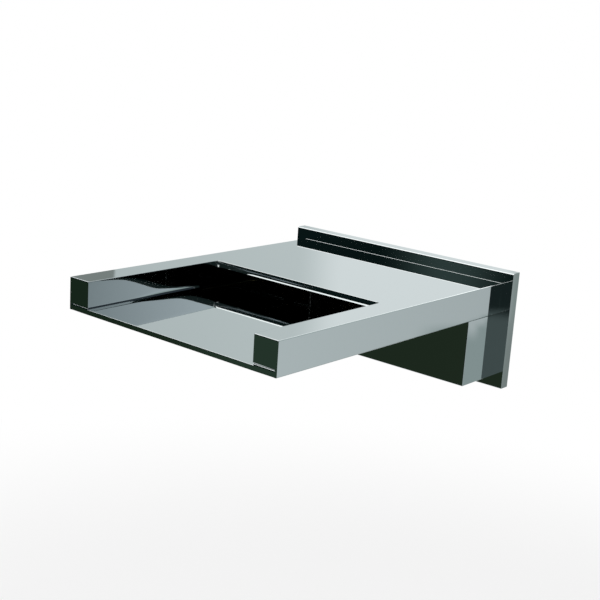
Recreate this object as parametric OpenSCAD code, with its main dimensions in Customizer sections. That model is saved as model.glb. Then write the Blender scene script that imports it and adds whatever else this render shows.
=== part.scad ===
// Wall-mounted waterfall bath spout. A flat slab with an open trough at its front
// stands out from the wall on a full-width housing and a hollow wall plate.
// Water enters through the inlet adapter, fills the housing, rises through the
// diffuser into the space under the deck and runs out over the trough's lip.
// Millimetres, +Z up. X runs along the wall, the wall is the plane Y = 0 and the
// body points towards -Y. The origin is on the inlet's axis. Left and right are
// as seen by someone who faces the wall.

/* [Slab] */
// Width of the slab and of the housing
body_w = 150; // [120:1:200]
// Length of the slab from the front of the wall plate to the lip
body_l = 193; // [180:1:260]
// Height of the slab, from the underside of the floor to the top
slab_t = 18; // [15:0.5:26]
// Width of each rail beside the trough
rail_w = 15.2; // [10:0.1:22]
// Length of the open trough, from the lip back to the deck
trough_l = 95.5; // [60:0.5:108]
// Radius in the trough's two rear corners
corner_r = 2; // [0.5:0.1:6]
// Thickness of the top sheet
deck_t = 3.8; // [2.5:0.1:5]
// Radius along the lower edge of the deck's front
edge_r = 2; // [0.5:0.1:3]
// Thickness of the floor plate under the rails and the deck
floor_t = 3.5; // [2:0.1:5]
// How much lower the trough's floor is at the lip than at the deck
lip_fall = 0.8; // [0.2:0.1:1.5]
// Thickness of the side skins, cheeks, end caps and housing walls
skin_t = 1.5; // [1:0.1:2.5]

/* [Water way] */
// Thickness of the rib that keeps the deck off the floor
rib_t = 1.5; // [1:0.1:3]
// Distance from the deck's front edge to the rib
rib_setback = 15; // [5:1:25]
// Distance from the rib to the diffuser
rib_gap = 23.5; // [10:0.5:30]
// Thickness of the diffuser
diffuser_t = 1.5; // [1:0.1:3]
// Diameter of the diffuser's holes
diffuser_hole_d = 4; // [2:0.1:5]
// Distance between the diffuser's holes
diffuser_pitch = 7; // [6:0.5:12]
// Width of the ledge that carries the diffuser round the floor's window
ledge_w = 2; // [1:0.5:4]
// Distance from each cheek to the end of the floor's window
window_inset = 6; // [4:0.5:20]
// Width of the baffle in front of the inlet
baffle_w = 60; // [40:1:90]
// Distance from the inlet socket to the baffle
baffle_gap = 4.5; // [3:0.5:6]
// Distance from the top of the baffle to the floor plate
baffle_top_gap = 7; // [4:0.5:16]

/* [Housing] */
// Depth of the housing in front of the wall plate
housing_d = 32; // [30:1:48]
// Height of the housing below the slab
housing_h = 38; // [34:1:56]
// Thickness of the plate that closes the back of the body
rear_t = 3; // [2:0.1:5]

/* [Wall plate] */
// Thickness of the wall plate over all
plate_t = 7; // [6:0.5:12]
// Width of the wall plate's margin at each side of the body
plate_side = 7; // [4:0.5:20]
// Width of the wall plate's margin above the slab
plate_top = 7; // [4:0.5:20]
// Width of the wall plate's margin below the housing
plate_bottom = 6.5; // [4:0.5:20]
// Thickness of the wall plate's face and rim
plate_skin = 2; // [1.5:0.1:3]
// Width of the foam gasket inside the rim
gasket_w = 3; // [2:0.5:5]

/* [Inlet] */
// Outside diameter of the pipe thread
thread_d = 20.955; // [20.955, 26.441]
// Length of the full thread
thread_l = 14; // [10:1:24]
// Length of the chamfer at the end of the thread
thread_chamfer = 1; // [0.5:0.1:2]
// How much wider the hexagon is across its flats than the thread
hex_extra = 3; // [2:0.5:6]
// Diameter of the spigot
spigot_d = 18; // [16:0.5:20]
// Length of the spigot in front of the wall plate
spigot_l = 15; // [14:0.5:18]
// Diameter of the water passage
water_d = 12; // [8:0.5:13]
// Thickness of the o-rings in their grooves
o_ring_t = 1.5; // [1.2:0.1:1.8]
// Distance from the front of the wall plate to the first o-ring
o_ring_first = 5; // [4:0.5:6]
// Distance between the o-rings
o_ring_step = 5; // [3.5:0.5:6]
// Clearance round the spigot in its socket
spigot_clear = 0.05; // [0.02:0.01:0.2]
// Wall thickness of the inlet socket
socket_wall = 4; // [2:0.5:6]
// Length of the inlet socket
socket_l = 18; // [17:0.5:19]
// Thickness of the strainer disc
strainer_t = 1.2; // [0.8:0.1:2]
// Diameter of the strainer's holes
strainer_hole_d = 1.6; // [1:0.1:2]

/* [Fixings] */
// Distance from each side of the body to the axis of its stud
stud_inset = 18; // [12:0.5:24]
// Diameter of the studs
stud_d = 8; // [6:0.5:10]
// Length of the studs in front of the wall plate
stud_l = 17; // [15:0.5:18]
// Width of the collar round each stud
collar_w = 3; // [2:0.5:4]
// Clearance round a stud in its boss
stud_clear = 0.05; // [0.02:0.01:0.2]
// Wall thickness round the bore of a boss
boss_wall = 4; // [3:0.5:5]
// Distance from the tip of a stud to the end of its bore
stud_tip_gap = 1; // [0.5:0.1:2]
// Thickness of the wall behind the blind bore
boss_end = 2.5; // [1.5:0.5:3]
// Diameter of the set screws
set_screw_d = 6; // [4:0.5:6]
// Length of the threaded part of the set screws
set_screw_l = 10; // [6:0.5:11]
// Distance from the front of the wall plate to the set screws
set_screw_y = 9; // [7.5:0.5:11]
// Width of the hexagon socket in the set screws
key_af = 3; // [2:0.5:3]
// Thickness of the wall bracket
bracket_t = 2; // [1.5:0.1:3]
// Diameter of the bracket's holes for the wall screws
screw_hole_d = 5.5; // [4:0.5:7]
// Distance between the bracket's holes for the wall screws
screw_spacing = 76; // [66:1:84]

/* [Hidden] */
$fn = 96;
// how far a cutting solid runs past the face that it cuts
over = 1;

half_w = body_w / 2;
slab_bot = housing_h / 2;
slab_top = slab_bot + slab_t;
housing_bot = -housing_h / 2;
floor_top = slab_bot + floor_t;
lip_top = floor_top - lip_fall;
deck_bot = slab_top - deck_t;
back_y = -plate_t;
rear_y = back_y - rear_t;
front_y = back_y - body_l;
deck_y = front_y + trough_l;
housing_y = back_y - housing_d;
cheek_x = half_w - rail_w;
inner_x = half_w - skin_t;

// the window in the floor and the diffuser on its ledge
window_x = cheek_x - window_inset;
window_front = housing_y + skin_t + ledge_w;
window_back = rear_y - ledge_w;
diffuser_x = window_x + ledge_w;
diffuser_front = window_front - ledge_w;
diffuser_nx = floor((2 * window_x - diffuser_hole_d) / diffuser_pitch);
diffuser_ny = floor((window_back - window_front - diffuser_hole_d) / diffuser_pitch);
rib_front = deck_y + rib_setback;
rib_back = diffuser_front - rib_gap;

// the hollow back of the wall plate
plate_x = half_w + plate_side;
plate_bot_z = housing_bot - plate_bottom;
plate_top_z = slab_top + plate_top;
recess_y = -(plate_t - plate_skin);
recess_x = plate_x - plate_skin;
recess_bot_z = plate_bot_z + plate_skin;
recess_top_z = plate_top_z - plate_skin;

// the inlet
hex_af = thread_d + hex_extra;
hex_front = recess_y + 0.5;
spigot_tip = back_y - spigot_l;
socket_bore_d = spigot_d + 2 * spigot_clear;
socket_d = socket_bore_d + 2 * socket_wall;
socket_tip = back_y - socket_l;
baffle_back = socket_tip - baffle_gap;
baffle_front = baffle_back - skin_t;
groove_d = socket_bore_d - 2 * o_ring_t;
groove_w = 1.3 * o_ring_t;
o_ring_clear = 0.02;
thread_end = thread_l + thread_chamfer;
strainer_d = thread_d - 5;
strainer_rim_w = 1.5;
strainer_seat_y = thread_end - strainer_t - 0.8;
strainer_clear = 0.05;
strainer_pitch = 1.6 * strainer_hole_d;
spigot_hole_clear = 1;

// the fixings
stud_x = half_w - stud_inset;
stud_tip = back_y - stud_l;
stud_hole_clear = 0.5;
stud_groove_depth = 0.8;
stud_tail_d = 0.75 * stud_d;
collar_d = stud_d + 2 * collar_w;
bore_d = stud_d + 2 * stud_clear;
bore_end = stud_tip - stud_tip_gap;
boss_d = bore_d + 2 * boss_wall;
boss_front = bore_end - boss_end;
set_y = back_y - set_screw_y;
set_tip_d = 0.4 * set_screw_d;
set_tip_z = -(stud_d / 2 - stud_groove_depth);
set_shoulder_z = -(bore_d / 2 + 0.6);
set_clear = 0.05;
key_depth = 0.3 * set_screw_l;
access_clear = 0.3;
bracket_x = stud_x + collar_d / 2 + 2;
bracket_z = recess_top_z < -recess_bot_z ? recess_top_z : -recess_bot_z;
bracket_half_h = bracket_z - gasket_w - 0.5;
bracket_corner_r = 4;
bracket_hole_d = hex_af / cos(30) + 2.4;

chrome = "gainsboro";
brass = "darkkhaki";
steel = "silver";
rubber = "dimgray";
plastic = "white";

// a block between two opposite corners
module block(low, high) {
    translate(low) cube(high - low);
}

// a rod along Y from y0 to y1
module rod(d, y0, y1, x = 0, z = 0) {
    translate([x, y0, z]) rotate([-90, 0, 0]) cylinder(h = y1 - y0, d = d);
}

// a cone along Y from y0, where it is d0 wide, to y1, where it is d1 wide
module taper(d0, d1, y0, y1, x = 0, z = 0) {
    translate([x, y0, z]) rotate([-90, 0, 0]) cylinder(h = y1 - y0, d1 = d0, d2 = d1);
}

// its children at the right, and mirrored at the left
module both_sides() {
    children();
    mirror([1, 0, 0]) children();
}

// plan of the open trough, with its rear corners rounded
module trough_plan() {
    translate([-cheek_x, front_y - over])
        square([2 * cheek_x, trough_l + over - corner_r]);
    translate([corner_r - cheek_x, front_y])
        square([2 * (cheek_x - corner_r), trough_l]);
    for (side = [-1, 1])
        translate([side * (cheek_x - corner_r), deck_y - corner_r]) circle(corner_r);
}

// a bar across the body, centred on X = 0, from a section drawn in Y and Z
module cross_bar(width) {
    translate([-width / 2, 0, 0]) rotate([90, 0, 90]) linear_extrude(width) children();
}

// what the rounded lower edge of the deck's front leaves out
module deck_edge_cut() {
    translate([0, deck_y, deck_bot])
        cross_bar(2 * (cheek_x - corner_r))
            difference() {
                translate([-over, -over]) square(over + edge_r);
                translate([edge_r, edge_r]) circle(edge_r);
            }
}

// what is taken off the floor so that the trough runs down to its lip
module floor_fall_cut() {
    cross_bar(2 * cheek_x)
        polygon([
            [deck_y, floor_top], [front_y, lip_top], [front_y - over, lip_top],
            [front_y - over, floor_top + over], [deck_y, floor_top + over]
        ]);
}

module top_shell() {
    color(chrome) difference() {
        union() {
            block([-half_w, front_y, deck_bot], [half_w, back_y, slab_top]);
            both_sides()
                block([inner_x, front_y, slab_bot], [half_w, back_y, slab_top]);
        }
        translate([0, 0, deck_bot - over]) linear_extrude(deck_t + 2 * over) trough_plan();
        deck_edge_cut();
    }
}

// inner wall of the right rail, from the end cap to the rear plate
module cheek() {
    block([cheek_x, front_y + skin_t, floor_top], [cheek_x + skin_t, rear_y, deck_bot]);
}

module cheek_left() {
    color(chrome) mirror([1, 0, 0]) cheek();
}

module cheek_right() {
    color(chrome) cheek();
}

// closes the front of the right rail between cheek and side skin
module rail_cap() {
    block([cheek_x, front_y, floor_top], [inner_x, front_y + skin_t, deck_bot]);
}

module rail_cap_left() {
    color(chrome) mirror([1, 0, 0]) rail_cap();
}

module rail_cap_right() {
    color(chrome) rail_cap();
}

module floor_plate() {
    color(chrome) difference() {
        block([-inner_x, front_y, slab_bot], [inner_x, rear_y, floor_top]);
        block([-window_x, window_front, slab_bot - over],
              [window_x, window_back, floor_top + over]);
        floor_fall_cut();
    }
}

// the rib has a round nose towards the trough
module centre_rib() {
    color(chrome) {
        block([-rib_t / 2, rib_front + rib_t / 2, floor_top],
              [rib_t / 2, rib_back, deck_bot]);
        translate([0, rib_front + rib_t / 2, floor_top])
            cylinder(h = deck_bot - floor_top, d = rib_t);
    }
}

module diffuser_plate() {
    color(steel) difference() {
        block([-diffuser_x, diffuser_front, floor_top],
              [diffuser_x, window_back + ledge_w, floor_top + diffuser_t]);
        for (i = [0 : diffuser_nx - 1], j = [0 : diffuser_ny - 1])
            translate([
                (i - (diffuser_nx - 1) / 2) * diffuser_pitch,
                (window_front + window_back) / 2 + (j - (diffuser_ny - 1) / 2) * diffuser_pitch,
                floor_top - over
            ])
                cylinder(h = diffuser_t + 2 * over, d = diffuser_hole_d, $fn = 32);
    }
}

// open at its top and back, with access holes below for the set screws
module housing_shell() {
    color(chrome) difference() {
        block([-half_w, housing_y, housing_bot], [half_w, back_y, slab_bot]);
        block([-inner_x, housing_y + skin_t, housing_bot + skin_t],
              [inner_x, back_y + over, slab_bot + over]);
        both_sides()
            translate([stud_x, set_y, housing_bot - over])
                cylinder(h = skin_t + 2 * over, d = set_screw_d + 2 * access_clear);
    }
}

// an upright plate across the jet, on a foot that meets the housing's front wall
module baffle_plate() {
    color(steel) {
        block([-baffle_w / 2, baffle_front, housing_bot + skin_t],
              [baffle_w / 2, baffle_back, slab_bot - baffle_top_gap]);
        block([-baffle_w / 2, housing_y + skin_t, housing_bot + skin_t],
              [baffle_w / 2, baffle_back, housing_bot + 2 * skin_t]);
    }
}

module rear_plate() {
    color(brass) difference() {
        block([-inner_x, rear_y, housing_bot + skin_t], [inner_x, back_y, deck_bot]);
        rod(socket_d, rear_y - over, back_y + over);
        both_sides()
            rod(bore_d + 2 * stud_hole_clear, rear_y - over, back_y + over, stud_x);
    }
}

// bush in the rear plate, bored for the spigot
module inlet_socket() {
    lead_in = 0.8;
    color(brass) difference() {
        rod(socket_d, socket_tip, back_y);
        rod(socket_bore_d, socket_tip - over, back_y + over);
        taper(socket_bore_d, socket_bore_d + 2 * lead_in, back_y - lead_in, back_y);
    }
}

// stands on the housing's bottom: a blind bore for the stud and a cross hole for its screw
module boss() {
    difference() {
        union() {
            rod(boss_d, boss_front, rear_y, stud_x);
            block([stud_x - boss_d / 2, boss_front, housing_bot + skin_t],
                  [stud_x + boss_d / 2, rear_y, 0]);
        }
        rod(bore_d, bore_end, rear_y + over, stud_x);
        translate([stud_x, set_y, housing_bot])
            cylinder(h = -housing_bot, d = set_screw_d + 2 * set_clear);
    }
}

module boss_left() {
    color(brass) mirror([1, 0, 0]) boss();
}

module boss_right() {
    color(brass) boss();
}

// a shallow pan, open towards the wall
module wall_plate() {
    color(chrome) difference() {
        block([-plate_x, -plate_t, plate_bot_z], [plate_x, 0, plate_top_z]);
        block([-recess_x, recess_y, recess_bot_z], [recess_x, over, recess_top_z]);
        rod(spigot_d + 2 * spigot_hole_clear, -plate_t - over, recess_y + over);
        both_sides()
            rod(stud_d + 2 * stud_hole_clear, -plate_t - over, recess_y + over, stud_x);
    }
}

module wall_gasket() {
    color(rubber) difference() {
        block([-recess_x, recess_y, recess_bot_z], [recess_x, 0, recess_top_z]);
        block([gasket_w - recess_x, recess_y - over, recess_bot_z + gasket_w],
              [recess_x - gasket_w, over, recess_top_z - gasket_w]);
    }
}

// outline of the bracket, with rounded corners
module bracket_plan() {
    x = bracket_x - bracket_corner_r;
    z = bracket_half_h - bracket_corner_r;
    square([2 * x, 2 * bracket_half_h], center = true);
    square([2 * bracket_x, 2 * z], center = true);
    for (i = [-1, 1], j = [-1, 1])
        translate([i * x, j * z]) circle(bracket_corner_r);
}

module wall_bracket() {
    color(steel) difference() {
        rotate([90, 0, 0]) linear_extrude(bracket_t) bracket_plan();
        rod(bracket_hole_d, -bracket_t - over, over);
        both_sides() {
            rod(screw_hole_d, -bracket_t - over, over, screw_spacing / 2);
            rod(stud_tail_d, -bracket_t - over, over, stud_x);
        }
    }
}

// riveted into the bracket, with a collar that bears on the back of the wall plate
module stud() {
    tip_chamfer = 0.8;
    difference() {
        union() {
            taper(stud_d - 2 * tip_chamfer, stud_d, stud_tip, stud_tip + tip_chamfer, stud_x);
            rod(stud_d, stud_tip + tip_chamfer, recess_y, stud_x);
            rod(collar_d, recess_y, -bracket_t, stud_x);
            rod(stud_tail_d, -bracket_t, 0, stud_x);
        }
        difference() {
            rod(stud_d + over, set_y - set_screw_d / 4, set_y + set_screw_d / 4, stud_x);
            rod(stud_d - 2 * stud_groove_depth, set_y - set_screw_d, set_y + set_screw_d, stud_x);
        }
    }
}

module stud_left() {
    color(steel) mirror([1, 0, 0]) stud();
}

module stud_right() {
    color(steel) stud();
}

// screwed in from below, each with a dog point in the groove of its stud
module set_screws() {
    color(steel) both_sides()
        translate([stud_x, set_y, 0]) difference() {
            union() {
                translate([0, 0, set_shoulder_z - set_screw_l])
                    cylinder(h = set_screw_l, d = set_screw_d);
                translate([0, 0, set_shoulder_z - set_screw_l / 2])
                    cylinder(h = set_tip_z - set_shoulder_z + set_screw_l / 2, d = set_tip_d);
            }
            translate([0, 0, set_shoulder_z - set_screw_l - over])
                cylinder(h = key_depth + over, d = key_af / cos(30), $fn = 6);
        }
}

module inlet_adapter() {
    tip_chamfer = 1;
    color(brass) difference() {
        union() {
            rod(thread_d, 0, thread_l);
            taper(thread_d, thread_d - 2 * thread_chamfer, thread_l, thread_end);
            translate([0, hex_front, 0]) rotate([-90, 0, 0])
                cylinder(h = -hex_front, d = hex_af / cos(30), $fn = 6);
            rod(spigot_d, spigot_tip + tip_chamfer, hex_front);
            taper(spigot_d - 2 * tip_chamfer, spigot_d, spigot_tip, spigot_tip + tip_chamfer);
        }
        rod(water_d, spigot_tip - over, thread_end + over);
        rod(strainer_d, strainer_seat_y, thread_end + over);
        for (i = [0, 1])
            o_ring_place(i)
                difference() {
                    cylinder(h = groove_w, d = spigot_d + over, center = true);
                    cylinder(h = groove_w + over, d = groove_d, center = true);
                }
    }
}

// the place and axis of each o-ring
module o_ring_place(i) {
    translate([0, back_y - o_ring_first - i * o_ring_step, 0]) rotate([-90, 0, 0]) children();
}

module o_rings() {
    section_d = o_ring_t - 2 * o_ring_clear;
    color(rubber)
        for (i = [0, 1])
            o_ring_place(i)
                rotate_extrude()
                    translate([(groove_d + o_ring_t) / 2, 0]) circle(d = section_d, $fn = 48);
}

module inlet_strainer() {
    reach = strainer_d / 2 - strainer_rim_w - strainer_hole_d / 2;
    n = floor(reach / strainer_pitch);
    color(plastic) difference() {
        rod(strainer_d - 2 * strainer_clear, strainer_seat_y, strainer_seat_y + strainer_t);
        for (i = [-n : n], j = [-n : n])
            if (norm([i, j]) * strainer_pitch <= reach)
                rod(strainer_hole_d, strainer_seat_y - over, strainer_seat_y + strainer_t + over,
                    i * strainer_pitch, j * strainer_pitch, $fn = 24);
    }
}

top_shell();
cheek_left();
cheek_right();
rail_cap_left();
rail_cap_right();
floor_plate();
centre_rib();
diffuser_plate();
housing_shell();
baffle_plate();
rear_plate();
inlet_socket();
boss_left();
boss_right();
wall_plate();
wall_gasket();
wall_bracket();
stud_left();
stud_right();
set_screws();
inlet_adapter();
o_rings();
inlet_strainer();
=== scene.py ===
"""Wall-mounted waterfall bath spout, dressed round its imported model.

Lengths are in metres, in the model's own frame: +Z up, X along the wall, +Y into the
wall, with the origin on the axis of the water inlet. Left and right are as seen by
someone who faces the wall.
"""
import logging
import math
from collections.abc import Callable, Iterable
from dataclasses import dataclass, field
from enum import Enum

import bmesh
import bpy
from mathutils import Matrix, Vector


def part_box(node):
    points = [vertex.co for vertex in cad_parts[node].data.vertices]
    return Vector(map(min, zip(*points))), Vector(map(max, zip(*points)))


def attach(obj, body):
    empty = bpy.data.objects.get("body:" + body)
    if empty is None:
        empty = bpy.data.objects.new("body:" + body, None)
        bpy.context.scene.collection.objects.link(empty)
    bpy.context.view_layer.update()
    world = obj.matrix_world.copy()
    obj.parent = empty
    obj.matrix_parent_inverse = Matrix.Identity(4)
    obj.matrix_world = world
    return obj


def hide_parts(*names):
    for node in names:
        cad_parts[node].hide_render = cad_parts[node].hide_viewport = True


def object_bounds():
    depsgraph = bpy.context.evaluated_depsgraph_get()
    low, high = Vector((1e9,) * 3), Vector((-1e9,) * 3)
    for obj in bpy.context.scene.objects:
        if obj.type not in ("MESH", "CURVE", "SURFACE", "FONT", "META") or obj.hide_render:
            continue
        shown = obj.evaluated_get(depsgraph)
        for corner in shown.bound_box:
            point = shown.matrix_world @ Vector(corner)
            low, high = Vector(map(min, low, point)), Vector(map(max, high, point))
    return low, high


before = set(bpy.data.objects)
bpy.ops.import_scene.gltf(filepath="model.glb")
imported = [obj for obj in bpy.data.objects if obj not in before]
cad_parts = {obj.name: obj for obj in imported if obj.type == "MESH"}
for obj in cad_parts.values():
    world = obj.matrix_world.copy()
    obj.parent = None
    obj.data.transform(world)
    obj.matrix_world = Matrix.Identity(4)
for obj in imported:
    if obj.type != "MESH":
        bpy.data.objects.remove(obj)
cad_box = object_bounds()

MM = 0.001
BODY = "root"
# Places closer than TOUCH count as one, and points closer than MERGE are joined.
TOUCH = 1e-6
MERGE = 1e-7
# Angles between faces, in degrees: up to COPLANAR they are one, from SHARP_ANGLE they show a corner.
COPLANAR = 0.1
SHARP_ANGLE = 35.0
# The share of an edge's length along an axis from which it is parallel to that axis.
PARALLEL = 0.999
ROD_SIDES = 64
Colour = tuple[float, float, float]
Place = Callable[[Vector], bool]
Socket = bpy.types.NodeSocket
Mesh = bmesh.types.BMesh

BRIGHT: Colour = (1.45, 1.5, 1.5)
GREY: Colour = (0.27, 0.335, 0.335)
DARK: Colour = (0.012, 0.02, 0.02)
WHITE = (1.0, 1.0, 1.0, 1.0)

log = logging.getLogger("spout")


class Side(Enum):
    """The two sides of the spout, with the sign of X on each."""

    LEFT = -1
    RIGHT = 1

    @property
    def word(self) -> str:
        """The side's name as the pieces carry it."""
        return self.name.lower()


class Slot(Enum):
    """The record's material slots."""

    CHROME = "polished_chrome"
    BRASS = "brass"
    STEEL = "stainless"
    RUBBER = "rubber"
    PLASTIC = "white_plastic"


class Graph:
    """Adds nodes to one node tree and joins them."""

    def __init__(self, tree: bpy.types.NodeTree) -> None:
        """Starts from an empty tree.

        Args:
            tree: The material's or the world's tree.
        """
        self.tree = tree
        tree.nodes.clear()

    def node(self, kind: str, inputs: dict | None = None, **settings) -> bpy.types.Node:
        """Adds one node.

        Args:
            kind: The node's type in Blender.
            inputs: A value or another node's output socket for each named input.
            settings: Values of the node's own properties.

        Returns:
            The node.
        """
        made = self.tree.nodes.new(kind)
        for name, value in settings.items():
            setattr(made, name, value)
        for name, value in (inputs or {}).items():
            if isinstance(value, Socket):
                self.tree.links.new(value, made.inputs[name])
            else:
                made.inputs[name].default_value = value
        return made

    def math(self, operation: str, *values: float | Socket) -> Socket:
        """Adds a Math node.

        Args:
            operation: The operation's name.
            values: Its inputs, in order.

        Returns:
            The result's socket.
        """
        return self.node("ShaderNodeMath", dict(enumerate(values)), operation=operation).outputs[0]

    def ramp(
        self, value: Socket, start: float, end: float, low: float = 0.0, high: float = 1.0,
        smooth: bool = True,
    ) -> Socket:
        """Maps a value from one range to another and holds it at the ends.

        Args:
            value: The value to map.
            start: The value that becomes low.
            end: The value that becomes high.
            low: The result at start.
            high: The result at end.
            smooth: Whether the result eases in and out.

        Returns:
            The result's socket.
        """
        inputs = {"Value": value, "From Min": start, "From Max": end, "To Min": low, "To Max": high}
        kind = "SMOOTHSTEP" if smooth else "LINEAR"
        return self.node("ShaderNodeMapRange", inputs, interpolation_type=kind).outputs["Result"]

    def blend(self, share: float | Socket, first: Colour | Socket, second: Colour | Socket) -> Socket:
        """Mixes two colours.

        Args:
            share: How much of the second colour.
            first: The colour at share 0.
            second: The colour at share 1.

        Returns:
            The mixed colour's socket.
        """
        made = self.node("ShaderNodeMix", {0: share}, data_type="RGBA")
        for index, value in ((6, first), (7, second)):
            if isinstance(value, Socket):
                self.tree.links.new(value, made.inputs[index])
            else:
                made.inputs[index].default_value = (*value, 1.0)
        return made.outputs[2]

    def noise(self, scale: float, detail: float = 2.0, stretch: Colour = (1, 1, 1)) -> Socket:
        """Adds a noise that is fixed to the object.

        Args:
            scale: How many swells there are in a metre.
            detail: How many finer layers lie on it.
            stretch: Factors on the scale along X, Y and Z.

        Returns:
            The noise value's socket.
        """
        place = self.node("ShaderNodeTexCoord").outputs["Object"]
        moved = self.node("ShaderNodeMapping", {"Vector": place, "Scale": stretch}).outputs["Vector"]
        inputs = {"Vector": moved, "Scale": scale, "Detail": detail}
        return self.node("ShaderNodeTexNoise", inputs).outputs[0]


@dataclass(frozen=True)
class Finish:
    """A surface with swells in its colour, its gloss and its relief."""

    name: str
    light: Colour
    dark: Colour
    metallic: float
    smooth: float
    rough: float
    grain: float
    stretch: Colour = (1, 1, 1)
    relief: float = 0.0
    relief_grain: float = 30.0
    relief_of_grain: float = 0.15
    gloss_span: tuple[float, float] = (0.3, 0.7)

    def material(self) -> bpy.types.Material:
        """Returns the finish's material, made on the first call.

        Returns:
            The material.
        """
        made = bpy.data.materials.get(self.name)
        if made:
            return made
        made = bpy.data.materials.new(self.name)
        made.use_nodes = True
        made.diffuse_color = (*self.light, 1.0)
        graph = Graph(made.node_tree)
        fine = graph.noise(self.grain, 3.0, self.stretch)
        broad = graph.noise(self.relief_grain, 1.0)
        height = graph.math("MULTIPLY_ADD", fine, self.relief_of_grain, broad)
        bump = {"Height": height, "Distance": self.relief, "Strength": 1.0}
        inputs = {
            "Base Color": graph.blend(fine, self.dark, self.light),
            "Metallic": self.metallic,
            "Roughness": graph.ramp(fine, *self.gloss_span, self.smooth, self.rough),
            "Normal": graph.node("ShaderNodeBump", bump).outputs[0],
        }
        shader = graph.node("ShaderNodeBsdfPrincipled", inputs)
        graph.node("ShaderNodeOutputMaterial", {"Surface": shader.outputs[0]})
        return made


# Chrome darkened to near black: painted shade for the rib deep inside the outlet, where little light
# reaches.
OUTLET_CHROME_PAINTED_SHADE = Finish(
    "outlet_chrome_painted_shade", (0.09, 0.09, 0.09), (0.07, 0.07, 0.07), 1.0, 0.35, 0.5, 600.0,
    relief=2e-5, relief_grain=500.0,
)
FINISHES = {
    Slot.CHROME: Finish(
        "mirror_chrome", (0.80, 0.82, 0.82), (0.78, 0.80, 0.80), 1.0, 0.012, 0.03, 400.0,
        relief=4e-6, relief_grain=28.0,
    ),
    Slot.BRASS: Finish(
        "machined_brass", (0.74, 0.60, 0.34), (0.66, 0.51, 0.26), 1.0, 0.2, 0.34, 900.0,
        relief=6e-6, relief_grain=260.0,
    ),
    Slot.STEEL: Finish(
        "rolled_stainless", (0.64, 0.65, 0.66), (0.54, 0.55, 0.56), 1.0, 0.22, 0.38, 260.0,
        stretch=(1, 14, 14), relief=8e-6, relief_grain=180.0,
    ),
    Slot.RUBBER: Finish(
        "matt_rubber", (0.035, 0.035, 0.036), (0.02, 0.02, 0.02), 0.0, 0.6, 0.8, 1400.0,
        relief=5e-5, relief_grain=1100.0,
    ),
    Slot.PLASTIC: Finish(
        "white_moulded_plastic", (0.86, 0.86, 0.84), (0.82, 0.82, 0.80), 0.0, 0.32, 0.42, 700.0,
        relief=2e-5, relief_grain=500.0,
    ),
}


@dataclass(frozen=True)
class Card:
    """A soft-edged board in the studio, as polished metal sees it, in degrees."""

    azimuth: float
    half_width: float
    low: float
    high: float
    edge: float
    rise_edge: float
    left: Colour
    right: Colour | None = None


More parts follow.
